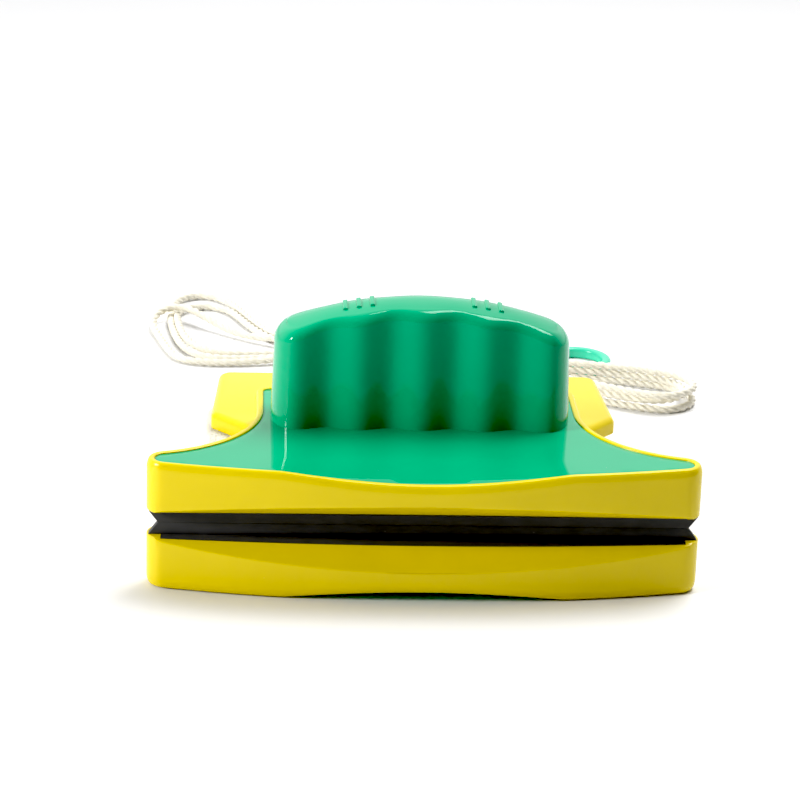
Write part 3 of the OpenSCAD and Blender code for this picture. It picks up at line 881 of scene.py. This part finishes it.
def make_pad(name, side, body):
    """Cotton pad, swollen a little by a cloth simulation so that its edges round over."""
    low, high = corners(name)
    start_t, swell, pull_in = 2.5, 0.42, 0.5
    middle = abs((low[2] + high[2]) / 2 - GLASS_Z)
    x0, x1, y0, y1 = low[0] + pull_in, high[0] - pull_in, low[1] + pull_in, high[1] - pull_in
    front_r, rear_r = 4.5, 19.5
    columns, rows = 69, 40
    us, vs = np.linspace(0, 1, columns), np.linspace(0, 1, rows)
    points, faces = [], []

    def spot(u, v):
        """Plan point of the grid, with the pad's corners rounded."""
        x, y = x0 + u * (x1 - x0), y0 + v * (y1 - y0)
        corner_r = front_r if v < 0.5 else rear_r
        cx = min(max(x, x0 + corner_r), x1 - corner_r)
        cy = min(max(y, y0 + front_r), y1 - rear_r)
        dx, dy = x - cx, y - cy
        if dx and dy:
            keep = max(abs(dx), abs(dy)) / math.hypot(dx, dy)
            x, y = cx + dx * keep, cy + dy * keep
        return x, y

    for z in (middle - start_t / 2, middle + start_t / 2):
        points += [(*spot(u, v), z) for v in vs for u in us]
    layer = columns * rows
    for r in range(rows - 1):
        for c in range(columns - 1):
            a = r * columns + c
            faces.append([a, a + columns, a + columns + 1, a + 1])
            faces.append([layer + a, layer + a + 1, layer + a + columns + 1, layer + a + columns])
    rim = list(range(columns)) + [r * columns + columns - 1 for r in range(1, rows)]
    rim += [(rows - 1) * columns + c for c in range(columns - 2, -1, -1)]
    rim += [r * columns for r in range(rows - 2, 0, -1)]
    middles = []
    for k in rim:
        middles.append(len(points))
        points.append((points[k][0], points[k][1], middle))
    for i, k in enumerate(rim):
        n, m = rim[(i + 1) % len(rim)], middles[(i + 1) % len(rim)]
        faces.append([k, n, m, middles[i]])
        faces.append([middles[i], m, layer + n, layer + k])
    piece = new_piece(name + "_cotton", placed(points, side), faces, "pad_cotton", 180)
    simulate(piece, swell * MM)
    level = piece.modifiers.new("round", "SUBSURF")
    level.levels = level.render_levels = 1
    bake(piece)
    nap(piece, low[2] * MM, high[2] * MM)
    smooth(piece, 180)
    return finish_piece(piece, body, "pad_cotton", name)


def gathered(mesh, field="co"):
    """Every vertex's place, or another vector of its own, as an array."""
    return np.array([tuple(getattr(vertex, field)) for vertex in mesh.vertices])


def move_points(mesh, places):
    mesh.vertices.foreach_set("co", places.ravel())
    mesh.update()


def simulate(piece, most):
    """Blows a closed piece up like a cushion, with no point moving further than most."""
    start = gathered(piece.data)
    cloth = piece.modifiers.new("cloth", "CLOTH")
    cloth.settings.use_pressure = True
    cloth.settings.uniform_pressure_force = 4
    cloth.settings.quality = 5
    cloth.settings.effector_weights.gravity = 0
    scene, last_frame = bpy.context.scene, 20
    for step in range(1, last_frame + 1):
        scene.frame_set(step)
    graph = bpy.context.evaluated_depsgraph_get()
    move = gathered(piece.evaluated_get(graph).to_mesh()) - start
    piece.modifiers.clear()
    scene.frame_set(1)
    length = np.linalg.norm(move, axis=1, keepdims=True)
    move *= np.minimum(1, most / np.maximum(length, 1e-9))
    move_points(piece.data, start + move)


def nap(piece, lowest, highest):
    """Uneven surface of the cotton pile, kept between the glass and the backing."""
    at, out = gathered(piece.data), gathered(piece.data, "normal")
    coarse, fine, spare = 260, 900, 0.02 * MM
    lump = np.array([noise.noise(Vector(p) * coarse) * 0.16 + noise.noise(Vector(p) * fine) * 0.07
                     for p in at])
    at += out * lump[:, None] * MM
    at[:, 2] = np.clip(at[:, 2], lowest + spare, highest - spare)
    move_points(piece.data, at)


# ---------- safety cord ----------

LEAD = [(0, 57, 13.6), (0, 57, 10.4), (0, 57.6, 7.4), (0, 59.6, 4.6), (-0.4, 62.6, 2.6),
        (-1, 66.5, 1.8), (-2.5, 72, 1.6), (-7, 82, 1.6), (-13, 91, 1.6), (-19, 100, 1.6),
        (-24, 109, 1.6), (-28, 118, 1.6), (-30, 128, 1.6), (-29, 138, 1.6), (-25, 147, 1.6),
        (-18, 158, 1.6)]
HANK = [
    # first run, to the right
    (-9, 161, 1.9), (2, 162.6, 2.8), (14.5, 159, 2.8), (30.5, 150.5, 1.8), (49.5, 139.5, 1.6),
    (68, 127.5, 1.6),
    # first fold on the right
    (92, 114.5, 1.6), (103, 114, 1.6), (111, 121.5, 1.6), (111.5, 132.5, 1.6), (104, 140.5, 1.6),
    # second run, to the left
    (84, 146.5, 1.6), (63, 151.5, 1.6), (42, 160.5, 1.6), (23.5, 169, 2.6), (12, 174, 2.9), (0, 175.8, 2.9),
    (-14, 177.5, 2.1), (-30, 182, 1.6), (-42, 189.5, 1.6),
    # outer loop on the left
    (-50, 202, 1.6), (-56, 216, 1.6), (-60.5, 229, 1.6), (-64.5, 239, 1.6), (-72, 246, 1.6),
    (-81, 244.5, 1.6), (-86, 236, 1.6), (-87, 225, 1.6), (-87, 214, 1.6), (-86, 203, 1.6),
    (-84.5, 193, 1.6), (-82, 181, 1.6),
    (-77, 170.5, 1.6), (-69, 165.5, 1.6), (-56, 166, 1.6), (-42, 168.5, 1.6), (-26, 169, 1.6),
    # third run, to the right
    (-12, 167.6, 2.2), (0, 166.9, 2.9), (14.5, 163.5, 2.9), (26.5, 157, 2.5), (41.5, 146.5, 3.7),
    (58.5, 135, 4.5), (74, 125.5, 4.5),
    # second fold on the right, on the first
    (89.5, 116.5, 4.5), (100, 116, 4.5), (107.5, 123, 4.5), (108, 133.5, 4.5), (101, 141, 4.5),
    # fourth run, to the left
    (82, 147, 4.5), (64.5, 150.5, 4.6), (47, 156, 4), (29, 162.5, 2.5), (16, 167.5, 2.9), (2, 171, 2.9),
    (-12, 172.8, 2.3), (-28, 177.5, 1.6), (-41, 184.5, 1.6),
    # middle loop on the left
    (-50, 195, 1.6), (-55.5, 206, 1.6), (-59.5, 217, 1.6), (-63.5, 226.5, 1.6), (-71, 232, 1.6),
    (-79.5, 230, 1.6),
    (-84, 222, 2.4), (-84.5, 212, 3), (-83.4, 202, 3), (-82, 192, 3), (-79, 181.5, 3), (-74, 173, 2.8),
    (-66, 169, 2.4), (-55, 170, 1.9), (-41, 172.6, 1.9), (-26, 172.6, 3.1),
    # fifth run, to the right
    (-12, 170.4, 4.8), (0, 169, 5.3), (15, 165.5, 5.3), (27.5, 158.5, 5.3), (42, 147, 6.5), (58.5, 135, 7.4),
    (73.5, 125.5, 7.4),
    # third fold on the right, on the second
    (92.5, 113.5, 7.4), (103, 113, 7.4), (111, 120.5, 7.4), (111.5, 131, 7.4), (104, 139, 7.4),
    # sixth run, to the left
    (86, 145.5, 7.4), (66.5, 149.5, 7.5), (47, 155.5, 6.9), (29.5, 163.5, 5.4), (14, 170, 5.2), (2, 173, 5.3),
    (-12, 174.5, 5), (-28, 178, 4.7), (-41, 183, 4.2),
    # inner loop on the left, across the others
    (-53, 189.5, 2.4), (-63, 197, 2.2), (-71, 205, 4.2), (-77.5, 212, 6), (-84, 217.5, 6.2),
    (-91.5, 214.5, 5),
    (-94.5, 206, 2.6), (-92, 196, 1.6), (-89.5, 186, 1.6), (-87, 176, 1.6), (-83.5, 165.5, 1.6),
    (-75, 161, 1.6),
    (-62, 160.5, 1.6), (-46, 163.5, 2.2), (-28, 167.5, 5),
    # last run, over the others to the tail
    (-12, 170.4, 7.6), (0, 171, 7.8), (12, 171.8, 8.1),
]
TAIL = [(22, 173.4, 6), (30, 174.5, 3.4), (38, 173.5, 1.8), (46, 171, 1.6), (54.5, 167, 1.6)]
RING_LOW, RING_HIGH = corners("finger_ring")
RING_CENTRE = ((RING_LOW[0] + RING_HIGH[0]) / 2, (RING_LOW[1] + RING_HIGH[1]) / 2)
RING_R = (RING_HIGH[0] - RING_LOW[0]) / 2
RING_HOLE_R = 10.0
RING_T = RING_HIGH[2]


def spline(points, spacing):
    """Points about spacing millimetres apart along a smooth curve that follows a route's points."""
    points = np.array(points, float)
    ends = (2 * points[0] - points[1], 2 * points[-1] - points[-2])
    route = np.vstack([ends[0], points, ends[1]])
    fine = []
    for i in range(len(route) - 3):
        a, b, c, d = route[i:i + 4]
        for t in np.linspace(0, 1, 40, endpoint=False):
            fine.append(((1 - t) ** 3 * a + (3 * t ** 3 - 6 * t ** 2 + 4) * b
                         + (-3 * t ** 3 + 3 * t ** 2 + 3 * t + 1) * c + t ** 3 * d) / 6)
    fine.append(points[-1])
    return evenly(np.array(fine), spacing)


def evenly(line, spacing):
    """The same line with points at even distances."""
    steps = np.concatenate([[0], np.cumsum(np.linalg.norm(np.diff(line, axis=0), axis=1))])
    marks = np.linspace(0, steps[-1], max(2, round(steps[-1] / spacing)) + 1)
    return np.column_stack([np.interp(marks, steps, line[:, axis]) for axis in range(3)])


def rope_section(radius, samples):
    """Angles round a twisted rope, and the distance to its skin at each."""
    angles = np.linspace(0, 2 * math.pi, samples, endpoint=False)
    half_gap = math.pi / STRANDS
    off = np.abs((angles + half_gap) % (2 * half_gap) - half_gap)
    strand_at, strand_r = 0.47, 0.53
    beyond = np.sqrt(np.maximum(strand_r ** 2 - (strand_at * np.sin(off)) ** 2, 0.01))
    return angles, radius * (strand_at * np.cos(off) + beyond)


def rope(line, radius, pitch, samples=21, closed=False):
    """Twisted rope swept along a line: points and faces."""
    angles, reach = rope_section(radius, samples)
    ahead = np.gradient(line, axis=0)
    if closed:
        ahead = np.roll(line, -1, axis=0) - np.roll(line, 1, axis=0)
    ahead /= np.linalg.norm(ahead, axis=1, keepdims=True)
    across = np.cross(ahead[0], (0.3, 0.2, 0.93))
    gone, points = 0.0, []
    for i, (here, along) in enumerate(zip(line, ahead)):
        across = across - along * (across @ along)
        across /= np.linalg.norm(across)
        other = np.cross(along, across)
        if i:
            gone += np.linalg.norm(here - line[i - 1])
        swirl = angles + 2 * math.pi * gone / pitch
        outward = np.outer(np.cos(swirl), across) + np.outer(np.sin(swirl), other)
        points.append(here + outward * reach[:, None])
    return closed_loft(points) if closed else loft(points)


def make_cord():
    """Twisted cotton cord from the stop knot to the ring knot, as one rope."""
    line = spline(LEAD + HANK + TAIL, 0.9)
    points, faces = rope(line, ROPE_R, 10.5)
    points[:, 2] = np.maximum(points[:, 2], 0.02)
    piece = new_piece("safety_cord", points, faces, "cord_cotton", 180)
    finish_piece(piece, OUTER, "cord_cotton", "cord_lead", "cord_hank", "cord_tail")
    return piece, line


def knot_line(centre, reach, height, steps=120):
    """Closed line of a small overhand knot."""
    t = np.linspace(0, 2 * math.pi, steps, endpoint=False)
    x = (np.sin(t) + 2 * np.sin(2 * t)) / 3 * reach
    y = (np.cos(t) - 2 * np.cos(2 * t)) / 3 * reach
    return np.column_stack([centre[0] + x, centre[1] + y, centre[2] - np.sin(3 * t) * height])


def make_knot(name, node, strand_r):
    """Overhand knot that fills its CAD node."""
    low, high = corners(node)
    centre = (low + high) / 2
    reach = (high[0] - low[0]) / 2 - strand_r
    height = (high[2] - low[2]) / 2 - strand_r
    points, faces = rope(knot_line(centre, reach, height), strand_r, 9.0, closed=True, samples=15)
    points[:, 2] = np.clip(points[:, 2], low[2] + 0.02, high[2])
    piece = new_piece(name, points, faces, "cord_cotton", 180)
    return finish_piece(piece, OUTER, "cord_cotton", node)


def make_ring():
    """Moulded finger ring with rounded edges, in a paler green that is a painted highlight."""
    edge = 1.1
    profile = []
    for centre, start in (((RING_R - edge, edge), -90), ((RING_R - edge, RING_T - edge), 0),
                          ((RING_HOLE_R + edge, RING_T - edge), 90), ((RING_HOLE_R + edge, edge), 180)):
        profile += [tuple(p) for p in arc(centre, edge, start, start + 90, 6)]
    points, faces = turned(profile, RING_CENTRE, 120)
    piece = new_piece("finger_ring_moulding", points, faces, "ring_plastic", 60)
    return finish_piece(piece, OUTER, "ring_plastic", "finger_ring")


def make_ring_loop():
    """End of the cord where it goes over the ring and down through its hole."""
    strand = 0.95
    west, y = RING_CENTRE[0] - RING_R, RING_CENTRE[1]
    over = RING_T + strand
    route = [(west - 2.6, y, 2.2), (west - 1.2, y, 3.9), (west + 0.6, y, over), (west + 2.6, y, over + 0.1),
             (west + 4.4, y, 3.6), (west + 4.9, y, 1.4), (west + 4.6, y, 1.0)]
    points, faces = rope(spline(route, 0.4), strand, 6.5, samples=15)
    points[:, 2] = np.maximum(points[:, 2], 0.02)
    piece = new_piece("ring_loop", points, faces, "cord_cotton", 180)
    return finish_piece(piece, OUTER, "cord_cotton")


def make_tie(line):
    """String wound tightly round the strands where they pass through the tie."""
    low, high = corners("cord_tie")
    string_r, turns = 0.62, 6
    middle = (low[0] + high[0]) / 2
    crossings = []
    for a, b in zip(line, line[1:]):
        if (a[0] - middle) * (b[0] - middle) <= 0 and low[1] < a[1] < high[1]:
            crossings.append((a + (b - a) * (middle - a[0]) / (b[0] - a[0]))[1:])
    crossings = np.array(crossings)
    reach = ROPE_R + string_r - 0.1
    hull = []
    for a in np.linspace(0, 2 * math.pi, 240, endpoint=False):
        way = np.array([math.cos(a), math.sin(a)])
        hull.append(crossings[np.argmax(crossings @ way)] + way * reach)
    hull = np.array(hull + [hull[0]])
    hull = evenly(np.column_stack([np.zeros(len(hull)), hull]), 0.45)[:-1]
    count = len(hull)
    width = high[0] - low[0] - 2 * string_r - 0.2
    coil = np.array([(middle + width * (i / (turns * count) - 0.5), *hull[i % count, 1:])
                     for i in range(turns * count + 1)])
    coil[:, 2] = np.maximum(coil[:, 2], string_r + 0.03)
    points, faces = rope(coil, string_r, 3.6, samples=12)
    piece = new_piece("cord_tie_string", points, faces, "tie_string", 180)
    return finish_piece(piece, OUTER, "tie_string", "cord_tie")


cord, cord_line = make_cord()
stop_knot = make_knot("stop_knot", "cord_knot", 1.25)
end_knot = make_knot("end_knot", "ring_knot", 1.3)
finger_ring = make_ring()
ring_loop = make_ring_loop()
tie = make_tie(cord_line)

for side, half, cover_top in ((1, INNER, INNER_TOP), (-1, OUTER, OUTER_TOP)):
    prefix = "inner" if side > 0 else "outer"
    make_shell(prefix + "_shell", side, half, cover_top)
    make_cover(prefix + "_cover", side, half, cover_top, GRIP_SCREWS if side > 0 else [])
    make_blade(prefix + "_blade", side, half)
    make_pad(prefix + "_pad", side, half)
make_grip()

for node, slot in (("magnets", "magnet"), ("yoke", "steel_plate"), ("magnet_tray", "tray_plastic"),
                   ("foam_spacer", "foam"), ("blade_retainer", "retainer_plastic"),
                   ("pad_backing", "pad_backing"), ("case_screws", "screw_steel")):
    for prefix in ("inner_", "outer_"):
        refinish(prefix + node, slot)
refinish("grip_screws", "screw_steel")
refinish("cord_grommet", "grommet_metal")


# ---------- floor and light ----------

def make_floor():
    """Plain pale floor that the object stands on."""
    paint = Paint("floor", (0.84, 0.84, 0.845), 0.6)
    paint.mottle(180, 0.006)
    outline = [(-6, -4, 0), (6, -4, 0), (6, 14, 0), (-6, 14, 0)]
    mesh = bpy.data.meshes.new("floor")
    mesh.from_pydata(outline, [], [[0, 1, 2, 3]])
    mesh.materials.append(paint.material)
    add_object("floor", mesh)


def softbox(name, place, aim, size, power):
    """Square softbox of a size and power, turned towards a point."""
    data = bpy.data.lights.new(name, "AREA")
    data.shape, data.size, data.energy = "SQUARE", size, power
    lamp = add_object(name, data)
    lamp.location = place
    lamp.rotation_euler = (Vector(aim) - Vector(place)).to_track_quat("-Z", "Y").to_euler()


def make_sky():
    """White studio surroundings, brighter behind the object than in front of it."""
    world = bpy.data.worlds.new("studio")
    bpy.context.scene.world = world
    world.use_nodes = True
    nodes, links = world.node_tree.nodes, world.node_tree.links
    split = nodes.new("ShaderNodeSeparateXYZ")
    links.new(nodes.new("ShaderNodeTexCoord").outputs["Generated"], split.inputs["Vector"])
    level = nodes.new("ShaderNodeMapRange")
    level.interpolation_type = "SMOOTHSTEP"
    for socket, value in (("From Min", -0.35), ("From Max", 0.6), ("To Min", 0.04), ("To Max", 1.1)):
        level.inputs[socket].default_value = value
    links.new(split.outputs["Y"], level.inputs["Value"])
    links.new(level.outputs["Result"], nodes["Background"].inputs["Strength"])
    nodes["Background"].inputs["Color"].default_value = (1, 1, 1, 1)


make_floor()
make_sky()
softbox("top_light", (0.35, 0.3, 1.1), (0, 0, 0.02), 0.6, 12)
softbox("left_light", (-1.55, -0.55, 0.75), (0, 0, 0.04), 0.4, 29)


def set_display():
    """Plain display transform with a raised black level, for the contrast of a bright product shot."""
    display = bpy.context.scene.view_settings
    display.view_transform = "Standard"
    display.use_curve_mapping = True
    display.curve_mapping.black_level = (0.032, 0.032, 0.032)
    display.curve_mapping.update()


set_display()
